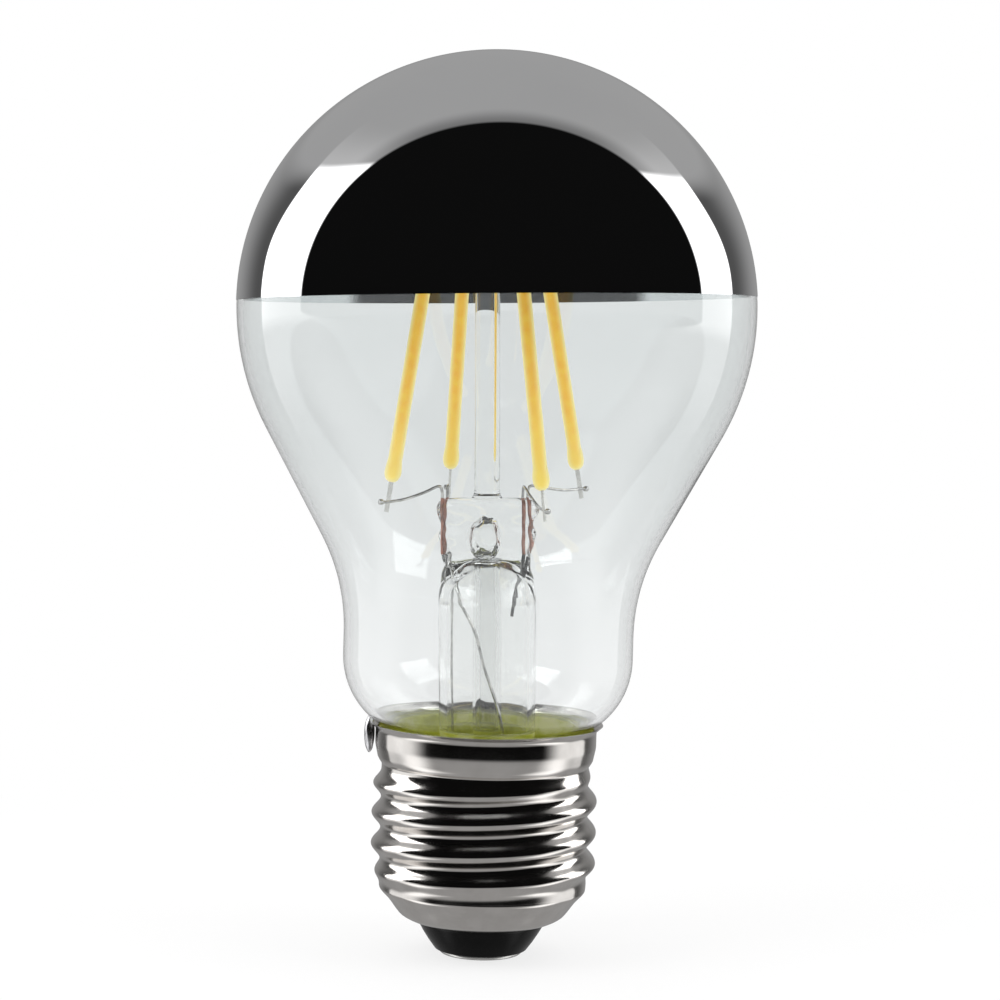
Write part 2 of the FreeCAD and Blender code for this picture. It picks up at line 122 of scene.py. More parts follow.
def smoothPath(points, perRun=10):  # a rounded line through the points
    points = [Vector(point) for point in points]
    line = []
    for run in range(len(points) - 1):
        before = points[max(run - 1, 0)]
        after = points[min(run + 2, len(points) - 1)]
        start = points[run]
        end = points[run + 1]
        for step in range(perRun):
            t = step / perRun
            line.append(
                0.5
                * (
                    2 * start
                    + (end - before) * t
                    + (2 * before - 5 * start + 4 * end - after) * t * t
                    + (3 * start - before - 3 * end + after) * t * t * t
                )
            )
    line.append(points[-1])
    return line


# A tube along a line; section(share) gives its half width and half depth
def sweptPiece(name, line, section, steps=14):
    points = []
    side = None
    for index, centre in enumerate(line):
        before = line[max(index - 1, 0)]
        after = line[min(index + 1, len(line) - 1)]
        along = (after - before).normalized()
        if side is None:
            side = along.orthogonal().normalized()
        side = (side - along * side.dot(along)).normalized()
        other = along.cross(side)
        wide, deep = section(index / (len(line) - 1))
        for step in range(steps):
            turn = 2 * math.pi * step / steps
            points.append(centre + side * wide * math.cos(turn) + other * deep * math.sin(turn))
    faces = ringFaces(len(line), steps)
    faces.append(tuple(reversed(range(steps))))
    faces.append(tuple(range((len(line) - 1) * steps, len(line) * steps)))
    return newPiece(name, points, faces)


# Points of a lumpy ball, ring by ring from its top
def lumpyBall(middle, half, lump, rings, steps):
    points = []
    for ring in range(rings + 1):
        tilt = math.pi * ring / rings
        for step in range(steps):
            turn = 2 * math.pi * step / steps
            way = Vector((math.sin(tilt) * math.cos(turn), math.sin(tilt) * math.sin(turn), math.cos(tilt)))
            points.append(middle + Vector((way.x * half.x, way.y * half.y, way.z * half.z)) * lump(way))
    return points


def joined(name, parts):  # one piece made of several closed shapes
    points = []
    faces = []
    for part in parts:
        base = len(points)
        points += [vertex.co / mm for vertex in part.data.vertices]
        faces += [tuple(base + index for index in polygon.vertices) for polygon in part.data.polygons]
        bpy.data.objects.remove(part)
    return newPiece(name, points, faces)


def finishPiece(piece, material, slotName, *nodes):
    piece.data.materials.clear()
    piece.data.materials.append(material)
    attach(piece, "root")
    if nodes:
        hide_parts(*nodes)


def boxMiddle(node):
    low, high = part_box(node)
    return (Vector(low) + Vector(high)) / 2 / mm


# Material helpers


def newMaterial(name, **values):
    material = bpy.data.materials.new(name)
    material.use_nodes = True
    shader = material.node_tree.nodes["Principled BSDF"]
    for key, value in values.items():
        shader.inputs[key].default_value = value
    return material, material.node_tree, shader


def addNoise(tree, scale, detail=4.0):
    coordinates = tree.nodes.new("ShaderNodeTexCoord")
    texture = tree.nodes.new("ShaderNodeTexNoise")
    texture.inputs["Scale"].default_value = scale
    texture.inputs["Detail"].default_value = detail
    tree.links.new(coordinates.outputs["Object"], texture.inputs["Vector"])
    return texture.outputs["Fac"]


def addRamp(tree, source, stops):
    ramp = tree.nodes.new("ShaderNodeValToRGB")
    while len(ramp.color_ramp.elements) < len(stops):
        ramp.color_ramp.elements.new(0.5)
    for element, (place, colour) in zip(ramp.color_ramp.elements, stops):
        element.position = place
        element.color = (*colour, 1)
    tree.links.new(source, ramp.inputs["Fac"])
    return ramp.outputs["Color"]


def addRange(tree, source, low, high, fromLow=0.3, fromHigh=0.7):
    ranged = tree.nodes.new("ShaderNodeMapRange")
    ranged.inputs["From Min"].default_value = fromLow
    ranged.inputs["From Max"].default_value = fromHigh
    ranged.inputs["To Min"].default_value = low
    ranged.inputs["To Max"].default_value = high
    tree.links.new(source, ranged.inputs["Value"])
    return ranged.outputs["Result"]


def addBump(tree, shader, source, strength, distance):
    bump = tree.nodes.new("ShaderNodeBump")
    bump.inputs["Strength"].default_value = strength
    bump.inputs["Distance"].default_value = distance
    tree.links.new(source, bump.inputs["Height"])
    tree.links.new(bump.outputs["Normal"], shader.inputs["Normal"])


# A value that runs from 0 at the low height to 1 at the high one, in millimetres
def addHeight(tree, low, high):
    coordinates = tree.nodes.new("ShaderNodeTexCoord")
    split = tree.nodes.new("ShaderNodeSeparateXYZ")
    tree.links.new(coordinates.outputs["Object"], split.inputs["Vector"])
    return addRange(tree, split.outputs["Z"], 0.0, 1.0, low * mm, high * mm)


# The first where the share is 0 and the second where it is 1, each a socket or a fixed value
def mixNode(tree, kind, share, first, second):
    node = tree.nodes.new("ShaderNodeMix")
    node.data_type = kind
    sockets = [item for item in node.inputs if item.enabled]
    for socket, value in zip(sockets, (share, first, second)):
        if isinstance(value, bpy.types.NodeSocket):
            tree.links.new(value, socket)
        else:
            socket.default_value = (*value, 1) if isinstance(value, tuple) else value
    return [item for item in node.outputs if item.enabled][0]


def mixValue(tree, share, first, second):
    return mixNode(tree, "FLOAT", share, first, second)


def mixColour(tree, share, first, second):
    return mixNode(tree, "RGBA", share, first, second)


def mathNode(tree, operation, first, second=None, third=None):
    node = tree.nodes.new("ShaderNodeMath")
    node.operation = operation
    for index, value in enumerate((first, second, third)):
        if value is None:
            continue
        if isinstance(value, (int, float)):
            node.inputs[index].default_value = value
        else:
            tree.links.new(value, node.inputs[index])
    return node.outputs[0]


def softStep(tree, value, low, high):
    node = tree.nodes.new("ShaderNodeMapRange")
    node.interpolation_type = "SMOOTHSTEP"
    node.inputs["From Min"].default_value = low
    node.inputs["From Max"].default_value = high
    tree.links.new(value, node.inputs["Value"])
    return node.outputs["Result"]


def softDrop(tree, value, low, high):
    return mathNode(tree, "SUBTRACT", 1.0, softStep(tree, value, low, high))


seenCement = {
    "glassTop": 26.5,
    "stemTop": 26.0,
    "fade": 0.5,
    "clearness": 0.12,
    "roughness": 0.3,
    # glow: painted light, an emission that brightens the cement where it lies in shade between glass and cap
    "glow": 0.075,
}


# Clear glass, with the cement painted on it up to a height, since it sticks to the glass all round; the
# cement part also glows a little, painted light that brightens it where it lies in shade
def makeGlass(name, lowColour, highColour, cementTop):
    material, tree, shader = newMaterial(name, **{"IOR": 1.5})
    # Glass colour made darker from 32 mm up to 58 mm, where the two colours differ
    heightTone = mixColour(tree, addHeight(tree, 32, 58), lowColour, highColour)
    grain = addNoise(tree, 260)
    shades = [(0.35, (0.5, 0.53, 0.06)), (0.5, (0.75, 0.78, 0.16)), (0.65, (0.95, 0.95, 0.5))]
    cement = addRamp(tree, grain, shades)
    clear = addHeight(tree, cementTop - seenCement["fade"], cementTop)
    tree.links.new(mixColour(tree, clear, cement, heightTone), shader.inputs["Base Color"])
    tree.links.new(mixValue(tree, clear, seenCement["clearness"], 1.0), shader.inputs["Transmission Weight"])
    tree.links.new(mixValue(tree, clear, seenCement["roughness"], 0.0), shader.inputs["Roughness"])
    # Painted light: the cement part glows in its own colour, to lift it out of the shade
    tree.links.new(cement, shader.inputs["Emission Color"])
    tree.links.new(mixValue(tree, clear, seenCement["glow"], 0.0), shader.inputs["Emission Strength"])
    return material


def makeMetal(name, dark, light, roughLow, roughHigh, scale, bumpStrength=0.0):
    material, tree, shader = newMaterial(name, **{"Metallic": 1.0})
    grain = addNoise(tree, scale)
    tree.links.new(addRamp(tree, grain, [(0.35, dark), (0.65, light)]), shader.inputs["Base Color"])
    tree.links.new(addRange(tree, grain, roughLow, roughHigh), shader.inputs["Roughness"])
    if bumpStrength:
        addBump(tree, shader, grain, bumpStrength, 0.0001)
    return material


def makePlain(name, dark, light, rough, scale, bumpStrength=0.1, **values):
    material, tree, shader = newMaterial(name, **values)
    grain = addNoise(tree, scale)
    tree.links.new(addRamp(tree, grain, [(0.3, dark), (0.7, light)]), shader.inputs["Base Color"])
    tree.links.new(addRange(tree, grain, rough * 0.8, min(rough * 1.3, 1.0)), shader.inputs["Roughness"])
    addBump(tree, shader, grain, bumpStrength, 0.0002)
    return material


paintedReflectionBand = {"full": 17.0, "none": 19.5, "shade": (0.035, 0.035, 0.04)}


# Silver coat, bright but for a painted reflection: a band inside it, across the middle, painted near black
# for the room's dark side
def makeMirror():
    material, tree, shader = newMaterial("silverCoatPaintedReflection", **{"Metallic": 1.0})
    grain = addNoise(tree, 60)
    bright = addRamp(tree, grain, [(0.35, (0.93, 0.93, 0.94)), (0.65, (0.96, 0.96, 0.965))])
    place = tree.nodes.new("ShaderNodeTexCoord")
    surface = tree.nodes.new("ShaderNodeNewGeometry")
    facing = tree.nodes.new("ShaderNodeVectorMath")
    facing.operation = "DOT_PRODUCT"
    tree.links.new(place.outputs["Object"], facing.inputs[0])
    tree.links.new(surface.outputs["Normal"], facing.inputs[1])
    split = tree.nodes.new("ShaderNodeSeparateXYZ")
    tree.links.new(place.outputs["Object"], split.inputs["Vector"])
    # Painted reflection: the inner face, in a band across the middle, is painted near black for the dark
    # side of the room
    inside = mathNode(tree, "LESS_THAN", facing.outputs["Value"], 0.0)
    sideways = mathNode(tree, "ABSOLUTE", split.outputs["X"])
    middle = softDrop(tree, sideways, paintedReflectionBand["full"] * mm, paintedReflectionBand["none"] * mm)
    dark = mathNode(tree, "MULTIPLY", inside, middle)
    tree.links.new(mixColour(tree, dark, bright, paintedReflectionBand["shade"]), shader.inputs["Base Color"])
    tree.links.new(addRange(tree, grain, 0.006, 0.012), shader.inputs["Roughness"])
    return material


glassMaterial = makeGlass("clearGlass", (0.94, 0.95, 0.95), (0.865, 0.885, 0.885), seenCement["glassTop"])
stemMaterial = makeGlass("stemGlass", (0.985, 0.99, 0.985), (0.985, 0.99, 0.985), seenCement["stemTop"])
mirrorMaterial = makeMirror()
capMaterial = makeMetal("nickelPlate", (0.76, 0.73, 0.7), (0.84, 0.81, 0.78), 0.1, 0.17, 400, 0.03)
contactMaterial = makeMetal("contactPlate", (0.72, 0.71, 0.69), (0.82, 0.81, 0.79), 0.18, 0.3, 700, 0.1)
solderMaterial = makeMetal("solder", (0.62, 0.62, 0.64), (0.76, 0.76, 0.78), 0.2, 0.36, 900, 0.3)
leadMaterial = makeMetal("leadWire", (0.34, 0.34, 0.34), (0.72, 0.71, 0.69), 0.12, 0.24, 900)
stubMaterial = makeMetal("burntWire", (0.03, 0.03, 0.03), (0.16, 0.16, 0.16), 0.25, 0.4, 900)
pinMaterial = makeMetal("pinMetal", (0.62, 0.61, 0.58), (0.8, 0.79, 0.76), 0.2, 0.32, 900)
dumetMaterial = makeMetal("dumetWire", (0.36, 0.14, 0.1), (0.62, 0.36, 0.29), 0.3, 0.45, 1200)
black = ((0.0015, 0.0015, 0.0015), (0.003, 0.003, 0.003))
insulatorMaterial = makePlain("blackGlass", *black, 0.14, 500, 0.05, **{"Specular IOR Level": 0.15})
cementMaterial = makePlain("cement", (0.4, 0.42, 0.005), (0.75, 0.76, 0.05), 0.45, 350, 0.5)
boardMaterial = makePlain("boardLaminate", (0.02, 0.11, 0.045), (0.035, 0.16, 0.07), 0.4, 600)
componentMaterial = makePlain("mouldedPart", (0.012, 0.012, 0.013), (0.03, 0.03, 0.032), 0.5, 1500)
resistorMaterial = makePlain("resistorCoat", (0.12, 0.28, 0.4), (0.2, 0.4, 0.5), 0.4, 1200)
stripMaterial = makePlain("ceramicStrip", (0.7, 0.62, 0.4), (0.85, 0.8, 0.6), 0.5, 1500)


def makePhosphor():  # yellow phosphor in clear silicone: paler yellow low down, deeper orange higher up; its rim paler seen edge-on, a painted sheen; and the coat glows a little, painted light
    material, tree, shader = newMaterial(
        "phosphorCoat",
        **{"Roughness": 0.4, "Coat Weight": 0.15, "Emission Strength": 0.5},
    )
    deep = addRamp(tree, addNoise(tree, 900), [(0.3, (0.93, 0.49, 0.03)), (0.7, (0.99, 0.62, 0.05))])
    yellow = mixColour(tree, addHeight(tree, 54, 74), (1.0, 0.8, 0.14), (1.0, 0.68, 0.09))
    coat = mixColour(tree, addHeight(tree, 52, 66), yellow, deep)
    # Painted sheen: the coat is paler towards its rim, where it is seen edge-on
    facing = tree.nodes.new("ShaderNodeLayerWeight")
    facing.inputs["Blend"].default_value = 0.4
    rim = addRange(tree, facing.outputs["Facing"], 0.0, 1.0, 0.03, 0.4)
    coat = mixColour(tree, rim, coat, (1.0, 0.85, 0.32))
    tree.links.new(coat, shader.inputs["Base Color"])
    # Painted light: the coat glows in its own colour, at the emission strength set above
    tree.links.new(coat, shader.inputs["Emission Color"])
    addBump(tree, shader, addNoise(tree, 700, 2.0), 0.25, 0.0002)
    return material


phosphorMaterial = makePhosphor()
print("stage: materials made")

# Glass envelope

envelope = {
    "globeRadius": 29.9,
    "globeHeight": 75.0,
    "wall": 0.7,
    "flankAngle": 28.6,
    "flankBlend": 23.0,
    "neckRadius": 16.8,
    "neckStraight": 2.8,
    "tuckRadius": 9.4,
    "spigotRadius": 11.0,
    "spigotBlend": 1.5,
    "sealHeight": 18.2,
    "crownRise": 0.985,
    "steps": 192,
}


def envelopeOutline(inset):  # outer or inner line of the glass from the seal up to the crown
    size = envelope
    flank = math.radians(size["flankAngle"])
    globe = size["globeRadius"]
    top = (globe * math.cos(flank), size["globeHeight"] - globe * math.sin(flank))
    blendCentre = size["neckRadius"] + size["flankBlend"]
    blendTop = blendCentre - size["flankBlend"] * math.cos(flank)
    neckTop = top[1] - (top[0] - blendTop) / math.tan(flank) - size["flankBlend"] * math.sin(flank)
    tuckCentre = (size["neckRadius"] - size["tuckRadius"], neckTop - size["neckStraight"])
    reach = size["tuckRadius"] + size["spigotBlend"]
    spigotCentre = size["spigotRadius"] + size["spigotBlend"]
    turn = math.degrees(math.acos((spigotCentre - tuckCentre[0]) / reach))
    spigotTop = tuckCentre[1] - reach * math.sin(math.radians(turn))
    line = [(size["spigotRadius"] - inset, size["sealHeight"])]
    line += arcPoints((spigotCentre, spigotTop), size["spigotBlend"] + inset, 180, 180 - turn, 10)
    line += arcPoints(tuckCentre, size["tuckRadius"] - inset, -turn, 0, 22)[1:]
    line += arcPoints((blendCentre, neckTop), size["flankBlend"] + inset, 180, 180 - size["flankAngle"], 20)
    line += arcPoints((0, size["globeHeight"]), globe - inset, -size["flankAngle"], 90, 72)
    return [(radius, flattened(height)) for radius, height in line]


# A height over the globe's middle brought down to the real dome, which isn't quite round
def flattened(height):
    over = height - envelope["globeHeight"]
    return envelope["globeHeight"] + over * (envelope["crownRise"] if over > 0 else 1)


def buildEnvelope():
    outer = envelopeOutline(0)
    inner = envelopeOutline(envelope["wall"])
    piece = turnedPiece("bulbGlass", outer + inner[::-1], envelope["steps"])
    finishPiece(piece, glassMaterial, "bulb_glass", "glass_envelope")


buildEnvelope()

# Mirror coat on the crown

crown = {"clearance": 0.01, "thickness": 0.04, "edgeHeight": 76.2, "tilt": 1.9, "steps": 192}


def buildCrown():
    inner = envelope["globeRadius"] + crown["clearance"]
    outer = inner + crown["thickness"]
    tilt = math.radians(crown["tilt"])
    edge = (crown["edgeHeight"] - envelope["globeHeight"]) * math.cos(tilt)
    line = arcPoints((0, 0), outer, math.degrees(math.asin(edge / outer)), 90, 72)
    line += arcPoints((0, 0), inner, 90, math.degrees(math.asin(edge / inner)), 72)
    piece = turnedPiece("crownMirror", line, crown["steps"])
    place = Matrix.Translation((0, 0, envelope["globeHeight"] * mm))
    piece.data.transform(place @ Matrix.Rotation(-tilt, 4, "Y"))
    for vertex in piece.data.vertices:
        vertex.co.z = flattened(vertex.co.z / mm) * mm
    sharpen(piece)
    finishPiece(piece, mirrorMaterial, "mirror_coat", "silvered_crown")


buildCrown()
print("stage: glass and mirror built")

# Screw cap

cap = {
    "sheet": 0.25,
    "root": 12.05,
    "crest": 13.1,
    "pitch": 3.629,
    "drop": 0.55,
    "start": 7.8,
    "end": 22.2,
    "fade": 3.0,
    "collar": 12.85,
    "collarBottom": 22.8,
    "collarTaper": [
        (0.45, -0.12),
        (0.31, 0.15),
        (0.26, 0.4),
        (0.14, 0.95),
        (0.05, 1.4),
        (0.01, 1.65),
        (0, 1.9),
    ],
    "rim": 13.6,
    "rimHeight": 27.0,
    "rimFlare": 0.8,
    "hole": 7.6,
    "bottom": 3.9,
    "bowlTop": 8.0,
    "bowlFoot": (10.0, 5.15),
    "levels": 210,
    "steps": 180,
}


def eased(share):
    share = min(1, max(0, share))
    return share * share * (3 - 2 * share)


def knuckle(phase):  # height of a rolled thread at a phase in turns, from 0 at the root to 1 at the crest
    return 0.5 * (1 + math.cos(2 * math.pi * phase))


def capWall(inset, levels, steps):  # rows of the cap's sheet from its bottom hole to its rim
    size = cap
    foot = size["bowlFoot"]
    bowl = [
        (size["hole"] - 0.05, size["bottom"]),
        (size["hole"] + 0.9, size["bottom"] + 0.22),
        (foot[0] - 0.55, foot[1] - 0.55),
        foot,
        (foot[0] + 1.0, foot[1] + 1.35),
        (size["root"] - 0.12, size["bowlTop"] - 0.5),
        (size["root"], size["bowlTop"]),
    ]
    slant = inset * 0.7  # the sheet's thickness across the sloping bowl
    bowl = smoothPath([Vector((radius - slant, height + slant, 0)) for radius, height in bowl], 5)
    line = [(point.x, point.y) for point in bowl]
    threadFrom = len(line)
    for level in range(1, levels):
        share = level / levels
        line.append((size["root"] - inset, size["bowlTop"] + (size["end"] - size["bowlTop"]) * share))
    threadTo = len(line)
    line += [
        (size["root"] - inset, size["end"]),
        (size["root"] + 0.12 - inset, size["end"] + 0.12),
    ]
    for less, rise in size["collarTaper"]:
        line.append((size["collar"] - less - inset, size["collarBottom"] + rise))
    line += [
        (size["collar"] - inset, size["rimHeight"] - size["rimFlare"] - 0.25),
        (size["collar"] - inset, size["rimHeight"] - size["rimFlare"]),
        (size["collar"] + 0.12 - inset, size["rimHeight"] - size["rimFlare"] + 0.25),
        (size["rim"] - 0.1 - inset, size["rimHeight"] - 0.1),
        (size["rim"] - inset, size["rimHeight"]),
    ]
    rows = []
    for index, (radius, height) in enumerate(line):
        row = []
        fade = eased((height - size["start"]) / size["fade"]) * eased((size["end"] - height) / size["fade"])
        for step in range(steps):
            turn = 2 * math.pi * step / steps
            grown = radius
            if threadFrom <= index < threadTo:
                phase = (height + size["drop"] - size["start"]) / size["pitch"] - step / steps
                grown += (size["crest"] - size["root"]) * knuckle(phase) * fade
            row.append(Vector((grown * math.cos(turn), grown * math.sin(turn), height)))
        rows.append(row)
    return rows


def buildCap():
    outer = capWall(0, cap["levels"], cap["steps"])
    inner = capWall(cap["sheet"], cap["levels"] // 3, cap["steps"])
    rows = outer + inner[::-1]
    steps = cap["steps"]
    points = [point for row in rows for point in row]
    piece = newPiece("screwCap", points, ringFaces(len(rows), steps, True))
    joinPoles(piece)
    sharpen(piece, 50)
    finishPiece(piece, capMaterial, "cap_metal", "cap_shell")


buildCap()

# Black insulator, contact and cement

base = {
    "foot": 5.5,
    "contactTop": 0.5,
    "plug": 8.45,
    "plugTop": 6.7,
    "bore": 1.25,
    "contact": 4.85,
    "contactEdge": 0.35,
    "clear": 0.05,
}


def buildInsulator():
    hole = cap["hole"] - base["clear"]
    line = [(base["bore"], base["contactTop"]), (base["foot"] - 0.3, base["contactTop"])]
    line += arcPoints((base["foot"] - 0.3, base["contactTop"] + 0.3), 0.3, -90, -30, 5)
    line += [
        (base["foot"] + 0.66, base["contactTop"] + 1.1),
        (base["foot"] + 1.3, base["contactTop"] + 2.1),
        (hole - 0.18, cap["bottom"] - 0.3),
        (hole, cap["bottom"]),
        (hole, cap["bottom"] + 0.85),
        (base["plug"], cap["bottom"] + 1.3),
        (base["plug"], base["plugTop"]),
        (base["bore"], base["plugTop"]),
    ]
    piece = turnedPiece("capInsulator", line, 96)
    sharpen(piece, 40)
    finishPiece(piece, insulatorMaterial, "cap_insulator", "cap_insulator")


def buildContact():  # the plate, with a shallow dish and a solder dome in its middle
    edge = base["contactEdge"]
    line = [(0, 0.02), (0.7, 0.03), (1.15, 0.12), (1.4, 0.2), (1.7, 0.16), (2.0, 0.04), (2.2, 0)]
    line += arcPoints((base["contact"] - edge, edge), edge, -90, 0, 8)
    line += [(base["contact"], base["contactTop"]), (0, base["contactTop"])]
    piece = turnedPiece("contactPlate", line, 96, closed=False)
    sharpen(piece, 40)
    finishPiece(piece, contactMaterial, "contact_metal", "centre_contact")


cement = {"depth": 7.0, "spigotTop": 24.9, "unevenFrom": 0.9, "uneven": 0.35}


def buildCement():  # a ring between glass and shell, its top uneven where it squeezed out
    inside = envelope["spigotRadius"] + base["clear"]
    collarInside = cap["collar"] - cap["sheet"] - base["clear"]
    top = cap["rimHeight"] - cap["rimFlare"]

    def uneven(point, turn):
        if point.z > top - cement["unevenFrom"]:
            lift = noise.noise(Vector((math.cos(turn) * 3.1, math.sin(turn) * 3.1, point.x * 0.2)))
            point = point + Vector((0, 0, cement["uneven"] * lift))
        return point

    spigotTop = cement["spigotTop"]
    threadInside = cap["root"] - cap["sheet"] - base["clear"]
    line = [
        (inside, top - cement["depth"]),
        (threadInside, top - cement["depth"]),
        (threadInside, cap["collarBottom"] + 0.05),
        (collarInside, cap["collarBottom"] + 0.65),
        (collarInside, top - 0.2),
        (collarInside - 0.2, top + 0.1),
        (collarInside - 0.5, top - 0.1),
        (12.0, spigotTop + 1.0),
        (11.5, spigotTop + 0.6),
        (inside, spigotTop),
    ]
    piece = turnedPiece("cementRing", line, 160, shape=uneven)
    finishPiece(piece, cementMaterial, "cement", "capping_cement")


solder = {"rise": 0.5, "taller": 1.12, "rings": 24, "steps": 32}


def buildSolder():
    low, high = [Vector(corner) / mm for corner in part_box("side_contact_solder")]
    middle = (low + high) / 2 + Vector((0, 0, solder["rise"]))
    half = (high - low) / 2
    half.z *= solder["taller"]
    rings = solder["rings"]
    steps = solder["steps"]
    points = lumpyBall(middle, half, lambda way: 0.93 + 0.09 * noise.noise(way * 1.7), rings, steps)
    piece = newPiece("sideSolder", points, ringFaces(rings + 1, steps))
    joinPoles(piece)
    finishPiece(piece, solderMaterial, "solder", "side_contact_solder")


buildInsulator()
buildContact()
buildCement()
buildSolder()
print("stage: cap built")

# Stem, leaning with everything it carries

stem = {
    "lean": 1.4,
    "pivot": 31.0,
    "tube": 5.65,
    "wall": 0.9,
    "steps": 72,
    "pressTop": 53.3,
    "exhaust": 1.65,
    "exhaustBore": 0.9,
    "exhaustTip": 13.6,
    "exhaustTop": 46.2,
    "rod": 1.45,
    "rodTop": 91.0,
    "rodHead": 2.1,
}
pivot = Matrix.Translation((0, 0, stem["pivot"] * mm))
leanMatrix = pivot @ Matrix.Rotation(-math.radians(stem["lean"]), 4, "Y") @ pivot.inverted()


def leaned(point):  # a point in millimetres of the upright stem, put where the leaning stem has it
    return (leanMatrix @ (Vector(point) * mm)) / mm


blownHole = {"centre": (-0.2, 0, 48.6), "half": (1.95, 1.5, 2.6), "rings": 20}


def buildStem():  # flare tube and press: width, depth and squareness level by level
    steps = stem["steps"]
    tube = stem["tube"]
    bore = tube - stem["wall"]
    levels = [
        (17.9, 10.9, 10.9, 1.0),
        (18.9, 9.9, 9.9, 1.0),
        (20.4, 7.6, 7.6, 1.0),
        (22.5, 5.95, 5.95, 1.0),
        (25.5, tube, tube, 1.0),
        (34.0, tube, tube, 1.0),
        (40.5, tube, tube - 0.05, 1.0),
        (42.5, 5.6, 5.0, 0.95),
        (44.3, 5.25, 3.6, 0.9),
        (45.8, 5.1, 2.3, 0.88),
        (47.2, 5.2, 1.85, 0.86),
        (48.8, 5.6, 1.9, 0.84),
        (50.2, 5.35, 1.8, 0.84),
        (51.4, 5.75, 1.9, 0.84),
        (52.3, 5.8, 1.85, 0.86),
        (52.9, 5.45, 1.5, 0.9),
        (53.2, 4.6, 1.0, 0.95),
        (53.3, 3.6, 0.6, 1.0),
    ]
    hollow = [
        (17.9, 9.6, 9.6, 1.0),
        (19.6, 7.4, 7.4, 1.0),
        (22.0, 5.1, 5.1, 1.0),
        (25.5, bore, bore, 1.0),
        (39.0, bore, bore, 1.0),
        (41.5, 4.6, 4.4, 1.0),
        (43.2, 4.2, 3.5, 0.98),
        (44.5, 3.5, 2.4, 0.96),
        (45.4, 2.6, 1.4, 0.96),
        (45.9, 1.5, 0.7, 1.0),
        (46.0, 0.5, 0.25, 1.0),
    ]

    def rings(table, perLevel):
        rows = smoothPath([Vector((row[0], row[1], row[2])) for row in table], perLevel)
        square = smoothPath([Vector((row[0], row[3], 0)) for row in table], perLevel)
        return [(row.x, row.y, row.z, mark.y) for row, mark in zip(rows, square)]

    def addRings(rows, inner):
        start = len(points)
        for height, wide, deep, square in rows:
            for step in range(steps):
                turn = 2 * math.pi * step / steps
                across = math.copysign(abs(math.cos(turn)) ** square, math.cos(turn)) * wide
                along = math.copysign(abs(math.sin(turn)) ** square, math.sin(turn)) * deep
                press = eased((height - 42) / 3)
                ripple = noise.noise(Vector((across * 0.9, along * 0.9, height * 0.8)))
                wobble = 1 + (0.008 + 0.05 * press) * ripple
                place = Vector((across * wobble, along * wobble, height))
                blend = eased((height - 19) / 5)
                points.append(place.lerp(leaned(place), blend))
        quads = ringFaces(len(rows), steps, False, start)
        faces.extend([quad[::-1] for quad in quads] if inner else quads)
        return start

    points = []
    faces = []
    outerRows = rings(levels, 5)
    innerRows = rings(hollow, 5)
    outerStart = addRings(outerRows, False)
    innerStart = addRings(innerRows, True)
    last = outerStart + (len(outerRows) - 1) * steps
    faces.append(tuple(range(last, last + steps)))
    lastInner = innerStart + (len(innerRows) - 1) * steps
    faces.append(tuple(reversed(range(lastInner, lastInner + steps))))
    for step in range(steps):
        side = (step + 1) % steps
        faces.append((outerStart + side, outerStart + step, innerStart + step, innerStart + side))
    faces += ringFaces(blownHole["rings"] + 1, steps, False, len(points))
    centre = Vector(blownHole["centre"])
    half = Vector(blownHole["half"])
    ball = lumpyBall(centre, half, lambda way: 1 + 0.12 * noise.noise(way * 1.7), blownHole["rings"], steps)
    points += [leaned(point) for point in ball]
    piece = newPiece("stemGlass", points, faces)
    finishPiece(piece, stemMaterial, "stem_glass", "stem_flare")


def buildExhaust():
    tip = stem["exhaustTip"]
    radius = stem["exhaust"]
    top = stem["exhaustTop"]
    bore = stem["exhaustBore"]
    line = arcPoints((0, tip + radius), radius, -90, 0, 12) + [(radius, top)]
    line += [(bore, top)]
    line += [(bore, tip + radius + 1.2)] + arcPoints((0, tip + radius + 1.2), bore, 0, -90, 8)[1:]
    piece = turnedPiece("exhaustTube", line, 48, closed=False)
    piece.data.transform(leanMatrix)
    sharpen(piece, 50)
    finishPiece(piece, stemMaterial, "stem_glass", "exhaust_tube")


def buildRod():
    radius = stem["rod"]
    top = stem["rodTop"]
    foot = stem["pressTop"]
    line = [(0, foot + 0.02), (radius + 0.35, foot + 0.02), (radius + 0.1, foot + 0.4)]
    line += [(radius, foot + 1.0), (radius, top - 4.6), (radius + 0.15, top - 3.8)]
    line += arcPoints((radius - 0.3, top - 2.0), stem["rodHead"] - radius + 0.3, -50, 90, 12)
    line += [(0, top - 0.75)]
    piece = turnedPiece("supportRod", line, 64, closed=False)
    piece.data.transform(leanMatrix)
    finishPiece(piece, stemMaterial, "stem_glass", "support_rod")


buildStem()
buildExhaust()
buildRod()
print("stage: stem built")

# Filaments, placed by the pins of the frame

filament = {
    "length": 31.0,
    "body": 0.83,
    "end": 0.97,
    "tip": 0.35,
    "swell": 2.6,
    "uneven": 0.02,
    "flatness": 0.96,
    "sag": 1.25,
    "pin": 3.5,
    "inset": 0.6,
    "pinHalf": (0.26, 0.06),
    "stripHalf": (0.4, 0.2),
}
sag = Vector((0, 0, -filament["sag"]))


def filamentAxis(number):  # start of a filament's coat and the way it runs
    lowPin = boxMiddle("filament_%d_lower_pin" % number)
    highPin = boxMiddle("filament_%d_upper_pin" % number)
    along = (highPin - lowPin).normalized()
    return (lowPin + highPin) / 2 + sag - along * filament["length"] / 2, along


